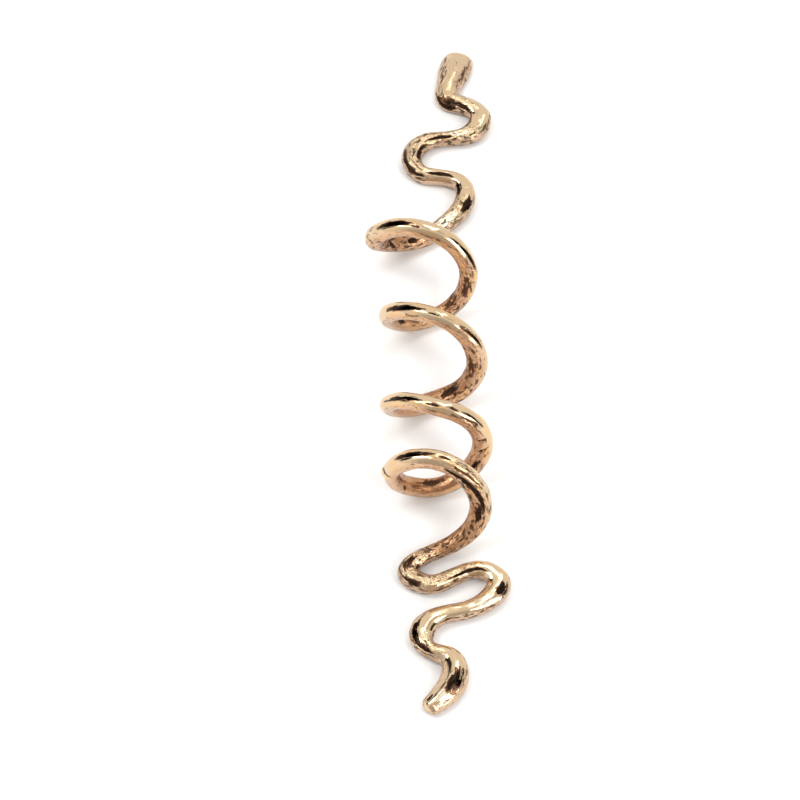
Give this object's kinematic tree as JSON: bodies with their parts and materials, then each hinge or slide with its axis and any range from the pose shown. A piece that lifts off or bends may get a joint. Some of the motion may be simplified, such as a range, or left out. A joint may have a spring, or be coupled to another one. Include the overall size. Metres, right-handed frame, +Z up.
{
  "type": "braid hair ring",
  "caption": "Open coil of cast antique-gold metal that a braid passes through, with a flat wavy tail at each end, one ending in a paddle and one in a blunt head.",
  "frame": {"origin": "middle of the part's box, on the surface that it lies on", "axes": "+Y along the coil towards the paddle end, +Z up from the surface, +X to the right seen from the head end"},
  "size_m": [0.0144, 0.0808, 0.0108],
  "materials": {
    "antique_gold": "antique gold plate on a zinc casting, polished on its high places, brown in its hollows, with small casting pits"
  },
  "bodies": {
    "root": {"coil_wire": "antique_gold"}
  },
  "joints": []
}
